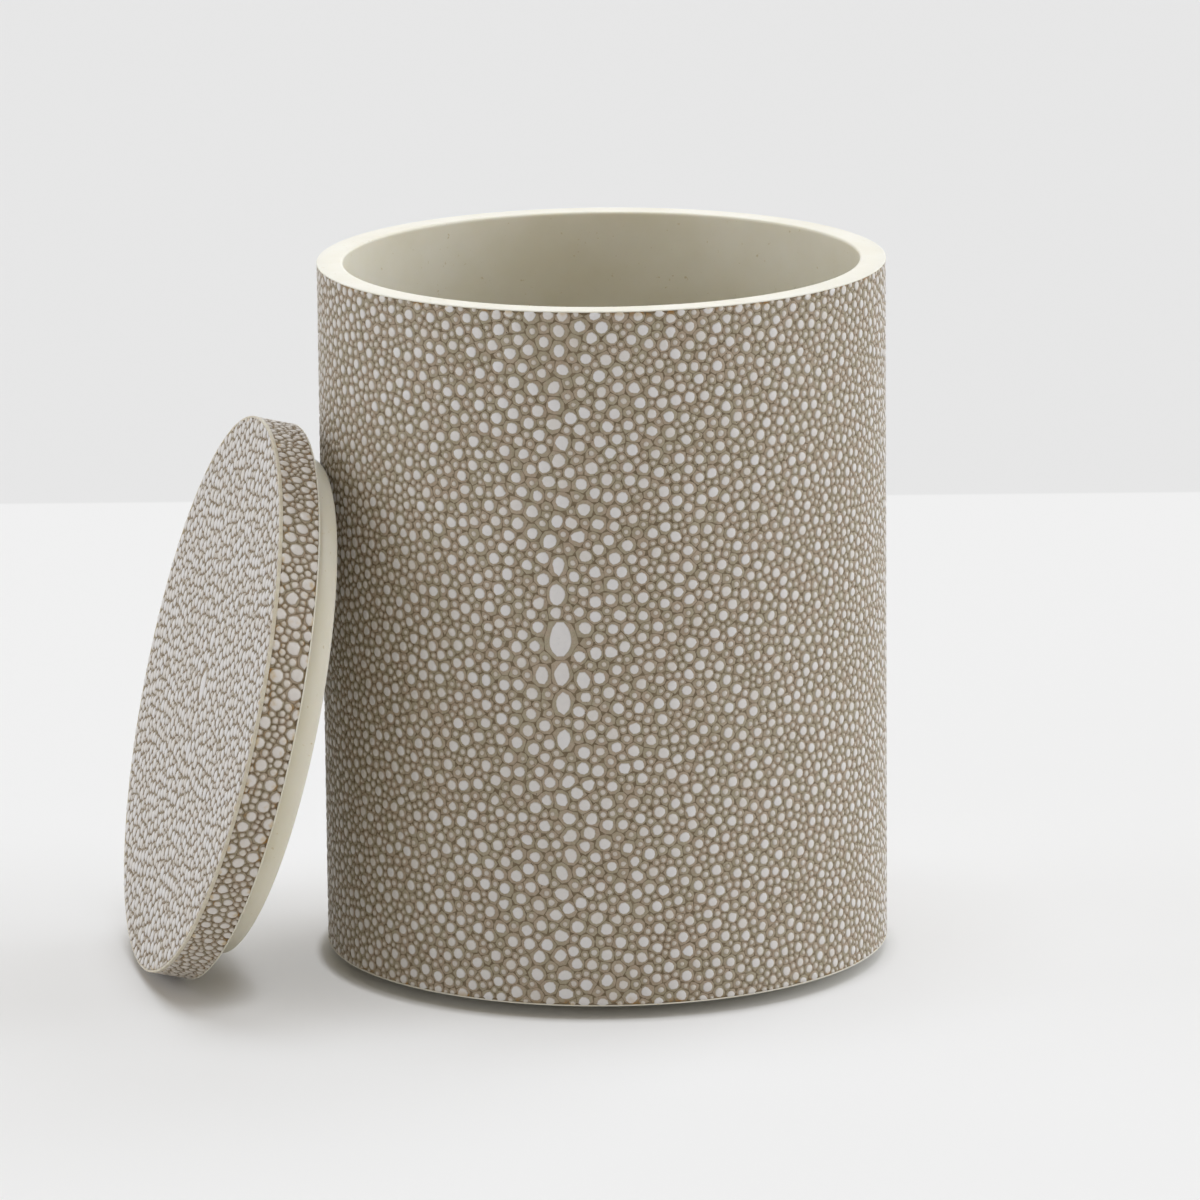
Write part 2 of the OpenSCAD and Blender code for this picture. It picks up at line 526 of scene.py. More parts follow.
# The largest oval and those round it: place across and up the hide, width, length
SPINE_OVALS = ((0.0, 0.0, 3.9, 6.3), (0.2, -6.1, 2.7, 4.0), (0.4, -11.2, 2.5, 4.4),
               (-3.3, -6.4, 2.3, 3.4), (3.9, -7.1, 2.3, 3.2), (-0.5, 7.9, 2.8, 3.7),
               (-0.2, 13.0, 2.1, 3.4), (0.4, -17.6, 2.4, 3.6))
OVAL_LEAN = 0.12
# Bare ground on both sides of the largest one: place from it and radius
BARE_ACROSS = 3.0
BARE_DOWN = 0.3
BARE_R = 0.6
# Rows of ovals above and below those: step, and where the row starts. Then their
# widths, how far they stray and lean, their lengthening, and shares of the step
SPINE_ROWS = ((3.4, 17.2), (-3.4, -22.0))
ROW_WIDTH = (1.85, 2.3)
ROW_STRAY = 0.9
ROW_LEAN = 0.12
ROW_LENGTHENING = (0.0, 0.28)
ROW_STEP_RANGE = (0.9, 1.12)
# Extra gap asked for in each round of throws of large pearls, and throws to a pearl
EXTRA_GAPS = (0.8, 0.5, 0.25, 0.0, -0.15, -0.3, -0.45, -0.6)
THROWS = 3
# Share of the skin's width that a large pearl has: the most usual, its spread, its range
WIDTH_SHARE = 1.08
WIDTH_SPREAD = 0.13
WIDTH_RANGE = (0.66, 1.1)
# Rounds in which large pearls push each other, how far off one can, the share of the
# overlap that a push makes up for, and the least distance that it is worked out from
SETTLE_ROUNDS = 24
SETTLE_REACH = 5.0
SETTLE_SHARE = 0.25
LEAST_APART = 1e-6
# Most rounds in which small pearls fill the room that is left
FILL_ROUNDS = 14


def on_axis(points, pearls):
    """The nearest place to each point on the long axis of each pearl."""
    half = pearls[..., 2:4]
    length = np.maximum(np.linalg.norm(half, axis=-1), ABOVE_ZERO)
    unit = half / length[..., None]
    along = np.clip(((points - pearls[..., 0:2]) * unit).sum(-1), -length, length)
    return pearls[..., 0:2] + unit * along[..., None]


def gap_to(points, pearls):
    """Distance from points to the edge of pearls."""
    return np.linalg.norm(points - on_axis(points, pearls), axis=-1) - pearls[..., 4]


class Hide:
    """Pearls packed on a flat sheet, the large ones first and then ever smaller ones."""

    def __init__(self, skin, low, high, inside, spine_at, seed):
        self.skin = skin
        self.random = np.random.default_rng(seed)
        self.low = np.array(low, float)
        self.high = np.array(high, float)
        count = np.ceil((self.high - self.low) / GRID).astype(int) + 1
        self.s = self.low[0] + GRID * np.arange(count[0])
        self.t = self.low[1] + GRID * np.arange(count[1])
        s, t = np.meshgrid(self.s, self.t, indexing="ij")
        self.room = np.where(inside(s, t), REACH, -1.0)
        self.empty = self.room.copy()
        self.area = (self.room > 0).sum() * GRID * GRID
        self.spine_at = spine_at
        self.bare = []
        self.pearls = []

    def at(self, s, values):
        """The skin's value at places across the hide."""
        return np.interp(np.abs(s - self.spine_at), self.skin.distance, values)

    def add(self, s, t, radius, half=(0.0, 0.0), bare=False):
        """Puts a pearl on the sheet, or bare ground that keeps pearls away."""
        pearl = np.array([s, t, half[0], half[1], radius])
        reach = REACH + radius + math.hypot(*half)
        i0, i1 = np.searchsorted(self.s, (s - reach, s + reach))
        j0, j1 = np.searchsorted(self.t, (t - reach, t + reach))
        grid = np.stack(np.meshgrid(self.s[i0:i1], self.t[j0:j1], indexing="ij"), -1)
        part = self.room[i0:i1, j0:j1]
        np.minimum(part, gap_to(grid, pearl), out=part)
        if not bare:
            self.pearls.append(pearl)

    def spine(self, middle, scale, low, high):
        """The row of oval pearls down the middle of the hide, with the largest at middle."""
        for s, t, width, length in SPINE_OVALS:
            radius = scale * width / 2
            half = scale * (length - width) / 2
            lean = self.random.normal(0, OVAL_LEAN)
            self.add(self.spine_at + scale * s, middle + scale * t, radius,
                     (half * math.sin(lean), half * math.cos(lean)))
        for side in (-1, 1):
            self.bare.append((self.spine_at + side * scale * BARE_ACROSS, middle - BARE_DOWN,
                              BARE_R * scale))
        for step, start in SPINE_ROWS:
            t = middle + start * scale
            while low < t < high:
                width = self.random.uniform(*ROW_WIDTH) * scale
                self.add(self.spine_at + self.random.normal(0, ROW_STRAY), t, width / 2,
                         (self.random.normal(0, ROW_LEAN), self.random.uniform(*ROW_LENGTHENING)))
                t += step * scale * self.random.uniform(*ROW_STEP_RANGE)

    def large(self):
        """Throws large pearls at free places, then lets them push each other apart."""
        fixed = len(self.pearls)
        wanted = int(self.area * self.skin.large_per_mm2)
        tries = THROWS * wanted
        for extra in EXTRA_GAPS:
            i = self.random.integers(0, len(self.s), tries)
            j = self.random.integers(0, len(self.t), tries)
            share = WIDTH_SHARE - WIDTH_SPREAD * np.abs(self.random.normal(0, 1, tries))
            scale = np.clip(share, *WIDTH_RANGE)
            radii = self.at(self.s[i], self.skin.large_width) / 2 * scale
            gaps = self.at(self.s[i], self.skin.large_gap) + extra
            for k in range(tries):
                if len(self.pearls) < wanted and self.room[i[k], j[k]] >= radii[k] + gaps[k]:
                    self.add(self.s[i[k]], self.t[j[k]], radii[k])
        self.settle(fixed)

    def settle(self, fixed):
        """Pearls that are too close push each other apart. The first ones are fixed."""
        pearls = np.array(self.pearls)
        first = []
        second = []
        for i in range(len(pearls) - 1):
            apart = np.linalg.norm(pearls[i + 1:, :2] - pearls[i, :2], axis=1)
            found = np.nonzero(apart < SETTLE_REACH)[0] + i + 1
            first.append(np.full(len(found), i))
            second.append(found)
        first = np.concatenate(first)
        second = np.concatenate(second)
        free = np.arange(len(pearls)) >= fixed
        target = self.at(pearls[:, 0], self.skin.large_gap) + self.skin.push
        wanted = pearls[first, 4] + pearls[second, 4] + (target[first] + target[second]) / 2
        for _ in range(SETTLE_ROUNDS):
            near_first = on_axis(pearls[second, :2], pearls[first])
            near_second = on_axis(near_first, pearls[second])
            away = near_second - near_first
            distance = np.maximum(np.linalg.norm(away, axis=1), LEAST_APART)
            push = away * (SETTLE_SHARE * np.maximum(wanted - distance, 0) / distance)[:, None]
            shift = np.zeros((len(pearls), 2))
            np.add.at(shift, second, push)
            np.add.at(shift, first, -push)
            pearls[free, :2] += shift[free]
            pearls[:, :2] = np.clip(pearls[:, :2], self.low + SETTLE_MARGIN,
                                    self.high - SETTLE_MARGIN)
        self.room = self.empty.copy()
        self.pearls = []
        for s, t, half_s, half_t, radius in pearls:
            self.add(s, t, radius, (half_s, half_t))
        for s, t, radius in self.bare:
            self.add(s, t, radius, bare=True)

    def small(self):
        """Fills the room that is left, the widest places first."""
        gaps = self.at(self.s, self.skin.small_gap)[:, None]
        least = self.at(self.s, self.skin.least_r)[:, None]
        for _ in range(FILL_ROUNDS):
            room = self.room
            peak = room >= gaps + least
            inner = room[1:-1, 1:-1]
            for di in (0, 1, 2):
                for dj in (0, 1, 2):
                    near = room[di:di + inner.shape[0], dj:dj + inner.shape[1]]
                    peak[1:-1, 1:-1] &= inner >= near
            i, j = np.nonzero(peak)
            value = room[i, j]
            placed = 0
            for k in np.argsort(-value, kind="stable"):
                if room[i[k], j[k]] < value[k]:
                    continue
                most = self.random.uniform(*self.skin.small_r)
                self.add(self.s[i[k]], self.t[j[k]], min(most, value[k] - gaps[i[k], 0]))
                placed += 1
            if not placed:
                return


# Nearest pearls that a pearl's cell is measured against, the most that a cell reaches
# from a pearl's middle, and the halvings in which its border is found
NEIGHBOURS = 20
CELL_REACH = 6.0
HALVINGS = 11
# Pearls below each of these radii have fewer sides or rings
TINY_R = 0.43
SMALL_R = 0.62
MIDDLING_R = 1.3
MOST_R = 9.0
# Sides of a pearl and its cell, from a least radius up to the next
PEARL_SIDES = ((16, MIDDLING_R, MOST_R), (10, SMALL_R, MIDDLING_R), (8, TINY_R, SMALL_R),
               (7, 0.0, TINY_R))
# Outlines: their mean size, and how far each of three waves sways them
SWELL = 1.02
SWAY = (0.05, 0.045, 0.03)
# A long pearl's outline is this much more pointed for its length, within a range
POINTED = 0.5
OUTLINE_POWER = (1.7, 2)
# Shape of the spread of the pearls' tones
TONE_SHAPE = (1.4, 3.2)
# Least ground round a pearl, and the least distance from its middle to its edge
LEAST_GROUND = 0.15
LEAST_EDGE = 0.12
# Half the gap between two cells, the least that a cell runs past its pearl, and the
# width and depth of the bank down to the line between cells
HALF_LINE = 0.02
CELL_PAST = 0.04
BANK_W = 0.05
BANK_H = 0.02
LINE_H = 0.05
# The ground runs in under a pearl to this share of its edge, and the pearl's own edge
# is sunk this far into the ground
UNDER_PEARL = 0.97
SINK = 0.06
# Rings of a pearl inside its edge: share of the way out, share of the crown's height,
# and how much they take of the darker rim colour, partly their own rim and partly painted shade
SMALL_RINGS = ((0.74, 0.75, 0.1),)
DOMED_RINGS = ((0.97, 0.25, 1.2), (0.86, 0.55, 0.12), (0.62, 0.86, 0.0), (0.3, 1.0, 0.0))
# Share of the darker rim colour, partly painted shade, at a domed pearl's sunk edge
DOMED_EDGE_RIM_AND_SHADE = 1.4
# A flat pearl's shoulder: how far in from its edge, height and share of the darker rim colour, partly
# painted shade
SHOULDER_IN = 0.03
SHOULDER_H = 0.6
SHOULDER_RIM_AND_SHADE = 0.4
# Where a flat pearl's top starts: how far in, or share of the radius if that is less
TOP_IN = 0.2
TOP_SHARE = 0.24
# Least distance from a pearl's middle to a sheet's cut edge, and how far apart the
# rings stay that it cuts off
LEAST_TO_CUT = 0.01
RING_STEP = 0.004
# Share of the UV square left free at each side of a piece
UV_MARGIN = 0.004


def reach_of_cells(pearls, near, rays):
    """How far each ray from a pearl's middle runs until it is as near to another pearl."""
    low = np.zeros(rays.shape[:2])
    high = np.full(rays.shape[:2], CELL_REACH)
    own = pearls[:, None]
    others = near[:, None]
    for _ in range(HALVINGS):
        middle = (low + high) / 2
        points = own[..., :2] + rays * middle[..., None]
        ahead = gap_to(points, own) > gap_to(points[:, :, None], others).min(-1)
        high = np.where(ahead, middle, high)
        low = np.where(ahead, low, middle)
    return low


def edge_of_pearls(pearls, rays):
    """Distance from a pearl's middle to its edge along each ray. A long pearl is pointed."""
    half = pearls[:, None, 2:4]
    length = np.linalg.norm(half, axis=-1)
    unit = half / np.maximum(length, ABOVE_ZERO)[..., None]
    along = np.abs((rays * unit).sum(-1))
    across = np.sqrt(np.maximum(1 - along ** 2, 0))
    narrow = pearls[:, None, 4]
    wide = narrow + length
    power = np.clip(2 - POINTED * length / narrow, *OUTLINE_POWER)
    return ((across / narrow) ** power + (along / wide) ** power) ** (-1 / power)


def neighbours(pearls):
    tree = KDTree(len(pearls))
    for i, pearl in enumerate(pearls):
        tree.insert((pearl[0], pearl[1], 0), i)
    tree.balance()
    found = [[hit[1] for hit in tree.find_n((p[0], p[1], 0), NEIGHBOURS + 1)[1:]] for p in pearls]
    return np.array(found)


class Rings:
    """Collects rings of points round pearls, with numbers for each point, into a mesh."""

    def __init__(self):
        self.points = []
        self.flat = []
        self.numbers = []
        self.faces = []
        self.count = 0

    def add(self, centres, rays, distances, heights, place, capped, **numbers):
        """distances and numbers are lists with an array for each ring, the outer first."""
        cells, sides = rays.shape[:2]
        rings = len(distances)
        flat = np.stack([centres[:, None] + rays * d[..., None] for d in distances], 1)
        high = np.array(heights)[None, :, None] * np.ones((cells, 1, sides))
        self.points.append(place(flat[..., 0], flat[..., 1], high).reshape(-1, 3))
        self.flat.append(flat.reshape(-1, 2))
        given = {}
        for name, values in numbers.items():
            whole = [np.broadcast_to(np.asarray(v, float), (cells, sides)) for v in values]
            given[name] = np.stack(whole, 1).reshape(-1)
        self.numbers.append(given)
        first = self.count + np.arange(cells)[:, None] * rings * sides
        side = np.arange(sides)[None]
        following = (side + 1) % sides
        for ring in range(rings - 1):
            outer = first + ring * sides
            inner = outer + sides
            quads = np.stack([outer + side, outer + following, inner + following, inner + side], -1)
            self.faces += quads.reshape(-1, 4).tolist()
        if capped:
            self.faces += (first + (rings - 1) * sides + side).tolist()
        self.count += cells * rings * sides

    def finish(self, name, material, body):
        """Makes the piece, with its numbers as attributes and the flat sheet as its UVs."""
        made = make_object(name, np.concatenate(self.points), self.faces, material, body)
        for key in self.numbers[0]:
            values = np.concatenate([n[key] for n in self.numbers])
            stored = made.data.attributes.new(key, "FLOAT", "POINT")
            stored.data.foreach_set("value", values.astype(np.float32))
        flat = np.concatenate(self.flat)
        low = flat.min(0)
        high = flat.max(0)
        flat = UV_MARGIN + (1 - 2 * UV_MARGIN) * (flat - low) / (high - low)
        corner = np.zeros(len(made.data.loops), np.int32)
        made.data.loops.foreach_get("vertex_index", corner)
        layer = made.data.uv_layers.new(name="OFBake")
        layer.uv.foreach_set("vector", flat[corner].astype(np.float32).ravel())


def pearl_rings(skin, small, edge, radius):
    """The rings of pearls inside their edges: distances out, heights and shares of the darker rim
    colour, which is partly painted shade.
    """
    crown = PEARL_TOP_H - skin.ground_h
    if small or skin.domed:
        table = SMALL_RINGS if small else DOMED_RINGS
        out = [edge * share for share, _, _ in table]
        heights = [skin.ground_h + share * crown for _, share, _ in table]
        rims = [rim for _, _, rim in table]
    else:
        out = [edge - SHOULDER_IN, edge - np.minimum(TOP_IN, TOP_SHARE * radius)]
        heights = [skin.ground_h + SHOULDER_H * crown, PEARL_TOP_H]
        rims = [SHOULDER_RIM_AND_SHADE, 0.0]
    return out, heights, rims


def lay_shagreen(name, hide, edge_along, place, body, sectors, seed):
    """Turns a packed hide into ground cells and pearls, in one pair of pieces a sector."""
    skin = hide.skin
    ground_h = skin.ground_h
    random = np.random.default_rng(seed)
    pearls = np.array(hide.pearls)
    near = pearls[neighbours(pearls)]
    radius = pearls[:, 4]
    phase = random.uniform(0, 2 * math.pi, (len(pearls), 4))
    sway = random.normal(0, 1, (len(pearls), 3)) * SWAY
    tone = random.beta(*TONE_SHAPE, len(pearls)) + skin.warmth
    for label, chosen in sectors:
        ground = Rings()
        beads = Rings()
        inside = chosen(pearls[:, 0])
        for sides, least_r, most_r in PEARL_SIDES:
            pick = inside & (radius >= least_r) & (radius < most_r)
            if not pick.any():
                continue
            own = pearls[pick]
            middles = own[:, :2]
            big = radius[pick][:, None]
            turn = phase[pick, :1] + np.arange(sides) * 2 * math.pi / sides
            rays = np.stack([np.cos(turn), np.sin(turn)], -1)
            cut = edge_along(middles[:, None], rays)
            reach = reach_of_cells(own, near[pick], rays)
            shape = SWELL + sum(sway[pick, k:k + 1] * np.cos((k + 2) * turn + phase[pick, k + 1:k + 2])
                                for k in range(3))
            edge = edge_of_pearls(own, rays) * shape
            edge = np.maximum(np.minimum(edge, reach - LEAST_GROUND), LEAST_EDGE)
            border = np.minimum(np.maximum(reach - HALF_LINE, edge + CELL_PAST), cut)
            bank = np.minimum(np.maximum(border - BANK_W, edge), cut)
            pearl_edge = np.minimum(edge, cut)
            width = np.maximum(border - pearl_edge, 0)
            near_cut = np.clip(1 - (cut - border) / skin.cut_reach, 0, 1)
            near_cut_in = np.clip(1 - (cut - pearl_edge) / skin.cut_reach, 0, 1)
            line = hide.at(own[:, 0], skin.line)[:, None]
            cells = [(border, ground_h - LINE_H, 0 * width, near_cut),
                     (bank, ground_h - BANK_H, border - bank, near_cut),
                     (pearl_edge * UNDER_PEARL, ground_h, width + HALF_LINE, near_cut_in)]
            if most_r <= TINY_R:
                del cells[1]
            out, heights, within, cuts = zip(*cells)
            ground.add(middles, rays, out, heights, place, False,
                       inside=within, cut=cuts, line=[line] * len(cells))

            out, heights, rims = pearl_rings(skin, most_r <= SMALL_R, edge, big)
            domed_edge = skin.domed and most_r > SMALL_R
            out = [pearl_edge] + out
            heights = [ground_h - SINK] + heights
            # The sunk edge takes the most of the darker rim colour, partly painted shade where the
            # pearl meets the ground
            rims = [DOMED_EDGE_RIM_AND_SHADE if domed_edge else 1.0] + rims
            out = [np.minimum(ring, cut - RING_STEP * i) for i, ring in enumerate(out)]
            beads.add(middles, rays, out, heights, place, True, rim=rims,
                      radius=[big] * len(out), tone=[tone[pick][:, None]] * len(out),
                      cut=[near_cut_in] * len(out))
        ground.finish(f"{name}_ground{label}", GROUND, body)
        beads.finish(f"{name}_pearls{label}", PEARLS, body)


def inside_box(half, height):
    """Says which places are inside a strip of a half length and a height."""
    return lambda s, t: ((abs(s) < half - SHEET_MARGIN) & (t > SHEET_MARGIN)
                         & (t < height - SHEET_MARGIN))


def inside_disc(radius):
    return lambda s, t: s * s + t * t < (radius - SHEET_MARGIN) ** 2


def to_box_edge(low, high):
    """Distance along a ray to the edge of a flat rectangle."""
    def edge_along(start, rays):
        steps = []
        for axis in (0, 1):
            slope = rays[..., axis]
            slope = np.where(np.abs(slope) < ABOVE_ZERO, ABOVE_ZERO, slope)
            end = np.where(slope > 0, high[axis], low[axis])
            steps.append((end - start[..., axis]) / slope)
        return np.maximum(np.minimum(*steps), LEAST_TO_CUT)
    return edge_along


def to_disc_edge(radius):
    """Distance along a ray to the edge of a disc."""
    def edge_along(start, rays):
        along = (start * rays).sum(-1)
        inner = radius ** 2 - (start ** 2).sum(-1)
        return np.maximum(np.sqrt(np.maximum(along ** 2 + inner, 0)) - along, LEAST_TO_CUT)
    return edge_along


def round_the_axis(radius, middle_bearing, low, lid):
    """Bends a flat sheet round the axis. s runs round it and t up from low."""
    def place(s, t, h):
        angle = math.radians(middle_bearing) + s / radius
        out = radius - SHEET_T + h
        points = mm(np.stack([out * np.cos(angle), out * np.sin(angle), low + t], -1))
        return in_lid(points) if lid else points
    return place


def on_the_face(s, t, h):
    """Lays a flat sheet on the lid's face with its t axis up the leaning face."""
    return in_lid(mm(np.stack([-t, s, LID_H - SHEET_T + h], -1)))


def sheet_base(name, place, width, height, top, body):
    """The strip of hide under its ground cells, with its cut ends and edges."""
    s = np.linspace(-width / 2, width / 2, ROUND_STEPS + 1)[:, None]
    t = np.array([0.0, height, height, 0.0])[None]
    h = np.array([top, top, 0.0, 0.0])[None]
    s, t, h = np.broadcast_arrays(s, t, h)
    points = place(s, t, h).reshape(-1, 3)
    faces = [[0, 1, 2, 3], [ROUND_STEPS * 4 + k for k in (3, 2, 1, 0)]]
    for i in range(ROUND_STEPS):
        for k in range(4):
            k2 = (k + 1) % 4
            faces.append([i * 4 + k, (i + 1) * 4 + k, (i + 1) * 4 + k2, i * 4 + k2])
    made = make_object(name, points, faces, BASE, body)
    for polygon in made.data.polygons:
        polygon.use_smooth = False
    return made


def build_cup():
    # Fillets: the wall's outer corners, the wrap's seat, and the mouth's inner corner
    low_fillet = 0.1
    rim_fillet = 0.12
    seat_fillet = 0.02
    mouth_fillet = 0.45
    wall = lathe("cup_wall_resin", [
        (INNER_R + STEP_W, WALL_LOW, 0),
        (CANISTER_R, WALL_LOW, low_fillet),
        (CANISTER_R, WALL_LOW + BARE_EDGE, seat_fillet),
        (CORE_R, WALL_LOW + BARE_EDGE, 0),
        (CORE_R, WALL_HIGH - BARE_EDGE, 0),
        (CANISTER_R, WALL_HIGH - BARE_EDGE, seat_fillet),
        (CANISTER_R, WALL_HIGH, rim_fillet),
        (INNER_R, WALL_HIGH, mouth_fillet),
        (INNER_R, WALL_LOW + STEP_H, 0),
        (INNER_R + STEP_W, WALL_LOW + STEP_H, 0),
    ], CREAM, "canister")
    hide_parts("cup_wall")
    floor = lathe("cup_floor_resin", [
        (0, WALL_LOW, 0),
        (INNER_R + STEP_W, WALL_LOW, seat_fillet),
        (INNER_R + STEP_W, WALL_LOW + STEP_H, 0),
        (INNER_R, WALL_LOW + STEP_H, 0),
        (INNER_R, WALL_LOW + FLOOR_T, 0),
        (0, WALL_LOW + FLOOR_T, 0),
    ], CREAM, "canister")
    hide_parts("cup_floor")

    foot_fillet = 0.2
    felt_fillet = 0.3
    foot = lathe("foot_plinth", [
        (0, FELT_T, 0), (FOOT_R, FELT_T, foot_fillet), (FOOT_R, WALL_LOW, 0), (0, WALL_LOW, 0),
    ], FOOT_SHADE, "canister")
    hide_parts("foot_disc")
    felt = lathe("foot_felt_pad", [
        (0, 0, 0), (FELT_R, 0, felt_fillet), (FELT_R, FELT_T, foot_fillet), (0, FELT_T, 0),
    ], FELT, "canister")
    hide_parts("foot_felt")


def everywhere(s):
    return np.ones(len(s), bool)


def build_wrap():
    # Place of the row of ovals across the sheet, and of the largest oval up it
    spine_at = -0.7
    largest_at = 64.9
    row_margin = 1.0
    half = math.pi * CANISTER_R - SEAM_W / 2
    height = WALL_HIGH - WALL_LOW - 2 * BARE_EDGE
    hide = Hide(WRAP_SKIN, (-half, 0), (half, height), inside_box(half, height), spine_at, seed=11)
    hide.spine(largest_at, 1.0, row_margin, height - row_margin)
    hide.large()
    hide.small()
    place = round_the_axis(CANISTER_R, SPINE_BEARING, WALL_LOW + BARE_EDGE, False)
    sixth = half / 3
    sectors = (("_left", lambda s: s < -sixth), ("_front", lambda s: (s >= -sixth) & (s < sixth)),
               ("_right", lambda s: s >= sixth))
    lay_shagreen("wrap", hide, to_box_edge((-half, 0), (half, height)), place, "canister",
                 sectors, seed=21)
    base = sheet_base("wrap_base", place, 2 * half, height, WRAP_SKIN.ground_h - BASE_DEPTH,
                      "canister")
    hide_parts("cup_shagreen")
    return hide


def build_lid_resin():
    # Fillets: the outer corners, the strip's seat, and the top corner
    low_fillet = 0.12
    seat_fillet = 0.02
    line_fillet = 0.04
    margin_fillet = 0.16
    margin_h = LID_H - MARGIN_DROP

    def corner_beige(r, z):
        return r > FACE_R - SLACK and z > LID_H - CORNER_LINE - SLACK

    core = lathe("lid_core_resin", [
        (0, 0, 0),
        (LID_R, 0, low_fillet),
        (LID_R, BARE_EDGE, seat_fillet),
        (LID_CORE_R, BARE_EDGE, 0),
        (LID_CORE_R, LID_H - CORNER_LINE, 0),
        (LID_R, LID_H - CORNER_LINE, line_fillet),
        (LID_R, margin_h, margin_fillet),
        (FACE_R, margin_h, line_fillet),
        (FACE_R, LID_H - SHEET_T, 0),
        (0, LID_H - SHEET_T, 0),
    ], CREAM, "lid", leaning=True, corner_beige=corner_beige)
    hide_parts("lid_core")
    plug = lathe("lid_plug_resin", [
        (0, -PLUG_H, 0), (PLUG_R, -PLUG_H, PLUG_BEVEL), (PLUG_R, 0, 0), (0, 0, 0),
    ], CREAM, "lid", leaning=True)
    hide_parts("lid_plug")


def build_lid_face():
    # Place of the row of ovals across the face, of the largest oval up it, and their size
    spine_at = 0.6
    largest_at = 1.5
    oval_scale = 1.05
    face = Hide(LID_SKIN, (-FACE_R, -FACE_R), (FACE_R, FACE_R), inside_disc(FACE_R), spine_at,
                seed=12)
    face.spine(largest_at, oval_scale, -FACE_R, FACE_R)
    face.large()
    face.small()
    lay_shagreen("lid_face", face, to_disc_edge(FACE_R), on_the_face, "lid", (("", everywhere),),
                 seed=22)
    low = LID_H - SHEET_T
    top = low + LID_SKIN.ground_h - BASE_DEPTH
    base_fillet = 0.02
    base = lathe("lid_face_base", [
        (0, low, 0), (FACE_R, low, 0), (FACE_R, top, base_fillet), (0, top, 0),
    ], BASE, "lid", leaning=True)
    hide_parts("lid_face_shagreen")
    return face


def build_lid_edge():
    # The strip is cut from across a hide, whose middle lies this far along it
    spine_at = 18.0
    half = math.pi * LID_R - SEAM_W / 2
    height = LID_H - CORNER_LINE - BARE_EDGE
    strip = Hide(EDGE_SKIN, (-half, 0), (half, height), inside_box(half, height), spine_at, seed=13)
    strip.large()
    strip.small()
    place = round_the_axis(LID_R, LID_SEAM_BEARING + 180, BARE_EDGE, True)
    lay_shagreen("lid_edge", strip, to_box_edge((-half, 0), (half, height)), place, "lid",
                 (("", everywhere),), seed=23)
    base = sheet_base("lid_edge_base", place, 2 * half, height, EDGE_SKIN.ground_h - BASE_DEPTH,
                      "lid")
    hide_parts("lid_edge_shagreen")
    return strip


build_cup()
wrap = build_wrap()
build_lid_resin()
face = build_lid_face()
strip = build_lid_edge()
print("pearls", len(wrap.pearls), len(face.pearls), len(strip.pearls))


FLOOR_SIZE_M = 16.0
# Line behind the canister where the floor's tone changes, and half its blur
BACK_LINE_M = 0.378
BACK_BLUR_M = 0.001
FLOOR_NEAR = srgb(241, 241, 241)
FLOOR_FAR = srgb(231, 231, 231)
# Share of the floor that is seen as pale as it is written, which softens the shadow
PALE_SHARE = 0.37
# That share starts between these distances from the canister's axis
PALE_FROM_M = (0.0508, 0.0525)
# Beyond these distances it also goes where the lid is close: how close, and the open
# shares of the sky at which it is none and whole
LID_FROM_M = (0.060, 0.068)
LID_CLOSE_M = 0.012
LID_SKY = (0.55, 0.92)
FILL_COLOUR = (1.0, 0.86, 0.64, 1.0)
FILL_STRENGTH = 0.27
SUN_SPREAD = 35
SUN_COLOUR = (0.883, 0.928, 1.0)
# Bearing and height above the horizon in degrees, and strength
SUNS = {
    "overhead": (0, 90, 1.12),
    "right_low": (0, 18, 1.18),
    "right_high": (0, 45, 0.13),
    "back_right_low": (45, 18, 0.52),
    "back_right_high": (45, 45, 0.57),
    "back_low": (90, 18, 0.24),
    "back_left_low": (135, 18, 0.13),
    "left_low": (180, 18, 0.73),
    "front_left_low": (225, 18, 0.23),
    "front_low": (270, 18, 0.07),
    "front_right_low": (315, 18, 0.04),
}
# The camera was fitted to the photograph's outlines. Its angles are in degrees.
CAMERA_PITCH = 12.898
CAMERA_YAW = -0.032
CAMERA_ROLL = -0.572
CAMERA_PLACE_M = (0, -1.4246, 0.38935)
FOCAL_PIXELS = 8241
PHOTO_PIXELS = 1200
SENSOR_MM = 36
CLIP_END_M = 100


def seen_rays(tree):
    """1 for the rays that show the floor and the world themselves, and 0 for their light."""
    path = node(tree, "LightPath")
    direct = node(tree, "Math", {0: path.outputs["Is Camera Ray"], 1: path.outputs["Is Glossy Ray"]},
                  operation="MAXIMUM")
    seen = node(tree, "Math", {0: direct.outputs[0], 1: path.outputs["Is Transmission Ray"]},
                operation="MAXIMUM")
    return seen.outputs[0]


def pale_share(tree):
    """Share of the floor seen as it is written, a painted light that softens its shadows:
    none under the canister, and less close to the lid, wherever the lid is, so that the shadows there
    stay darker."""
    out = node(tree, "VectorMath", {0: place_of(tree)}, operation="LENGTH").outputs["Value"]
    share = spread(tree, out, PALE_FROM_M, (0.0, PALE_SHARE))
    sky = node(tree, "AmbientOcclusion", {"Distance": LID_CLOSE_M}, samples=16)
    shaded = times(tree, spread(tree, sky.outputs["AO"], LID_SKY, (1.0, 0.0)),
                   spread(tree, out, LID_FROM_M))
    kept = node(tree, "Math", {0: 1.0, 1: shaded}, operation="SUBTRACT")
    return times(tree, share, kept.outputs[0])


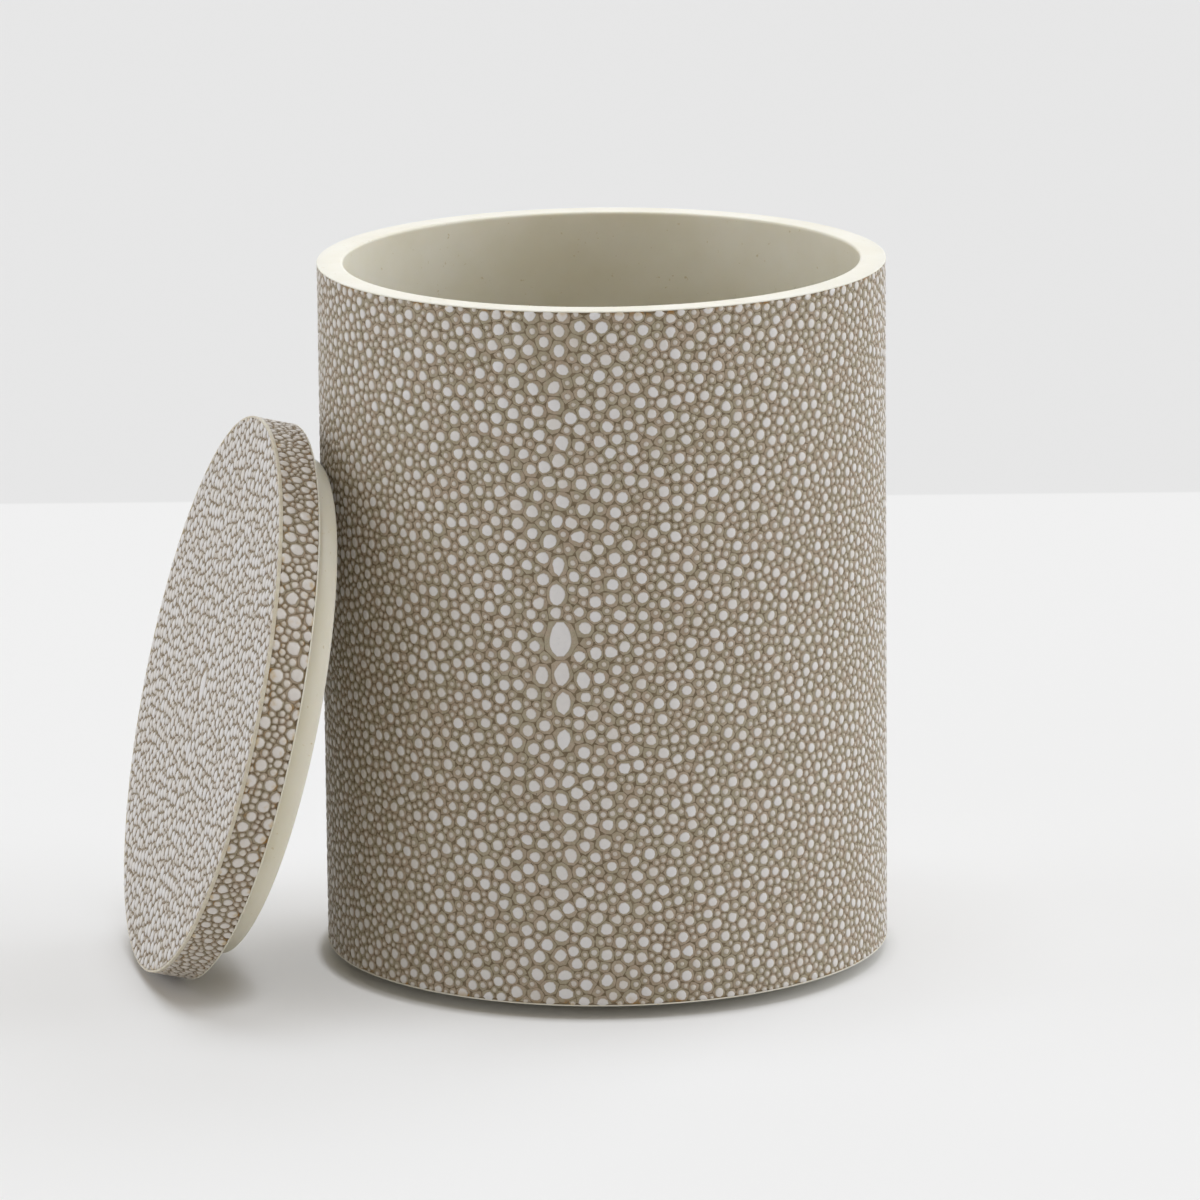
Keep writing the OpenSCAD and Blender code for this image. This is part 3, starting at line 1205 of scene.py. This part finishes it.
def build_floor():
    half = FLOOR_SIZE_M / 2
    mesh = bpy.data.meshes.new("floor")
    mesh.from_pydata([(-half, -half, 0), (half, -half, 0), (half, half, 0), (-half, half, 0)], [],
                     [(0, 1, 2, 3)])
    floor = bpy.data.objects.new("floor", mesh)
    bpy.context.scene.collection.objects.link(floor)
    made, tree, surface = new_material("floor", FLOOR_NEAR, Roughness=0.9, Specular_IOR_Level=0.0)
    parts = node(tree, "SeparateXYZ", {"Vector": place_of(tree)})
    back = spread(tree, parts.outputs["Y"], (BACK_LINE_M - BACK_BLUR_M, BACK_LINE_M + BACK_BLUR_M))
    colour = blend(tree, back, FLOOR_NEAR, FLOOR_FAR)
    tree.links.new(colour, surface.inputs["Base Color"])
    # The glow is painted light: it lightens the floor's shadows for the rays that see the floor
    glow = node(tree, "Emission", {"Color": colour, "Strength": 1.0})
    mixed = node(tree, "MixShader", {0: times(tree, pale_share(tree), seen_rays(tree)),
                                     1: surface.outputs[0], 2: glow.outputs[0]})
    tree.links.new(mixed.outputs[0], tree.nodes["Material Output"].inputs["Surface"])
    mesh.materials.append(made)


def build_world():
    world = bpy.data.worlds.new("studio")
    world.use_nodes = True
    tree = world.node_tree
    tree.nodes.clear()
    fill = node(tree, "Background", {"Color": FILL_COLOUR, "Strength": FILL_STRENGTH})
    pale = node(tree, "Background", {"Color": FLOOR_FAR, "Strength": 1.0})
    mixed = node(tree, "MixShader", {0: seen_rays(tree), 1: fill.outputs[0], 2: pale.outputs[0]})
    node(tree, "OutputWorld", {"Surface": mixed.outputs[0]})
    bpy.context.scene.world = world


def add_sun(name, azimuth, elevation, strength):
    """A soft lamp far away."""
    lamp = bpy.data.lights.new(name, "SUN")
    lamp.energy = strength
    lamp.angle = math.radians(SUN_SPREAD)
    lamp.color = SUN_COLOUR
    made = bpy.data.objects.new(name, lamp)
    bpy.context.scene.collection.objects.link(made)
    made.rotation_euler = (math.radians(90 - elevation), 0, math.radians(azimuth + 90))


def build_camera():
    pitch, yaw, roll = (math.radians(v) for v in (CAMERA_PITCH, CAMERA_YAW, CAMERA_ROLL))
    ahead = np.array([math.sin(yaw) * math.cos(pitch), math.cos(yaw) * math.cos(pitch),
                      -math.sin(pitch)])
    across = np.array([math.cos(yaw), -math.sin(yaw), 0])
    up = np.cross(across, ahead)
    right = across * math.cos(roll) + up * math.sin(roll)
    upward = -across * math.sin(roll) + up * math.cos(roll)
    turn = Matrix(np.stack([right, upward, -ahead], 1).tolist()).to_4x4()
    lens = bpy.data.cameras.new("camera")
    lens.sensor_width = SENSOR_MM
    lens.lens = SENSOR_MM * FOCAL_PIXELS / PHOTO_PIXELS
    lens.clip_end = CLIP_END_M
    made = bpy.data.objects.new("camera", lens)
    bpy.context.scene.collection.objects.link(made)
    made.matrix_world = Matrix.Translation(CAMERA_PLACE_M) @ turn
    bpy.context.scene.camera = made


build_floor()
build_world()
for name, (azimuth, elevation, strength) in SUNS.items():
    add_sun(name, azimuth, elevation, strength)
build_camera()
bpy.context.scene.view_settings.view_transform = "Standard"
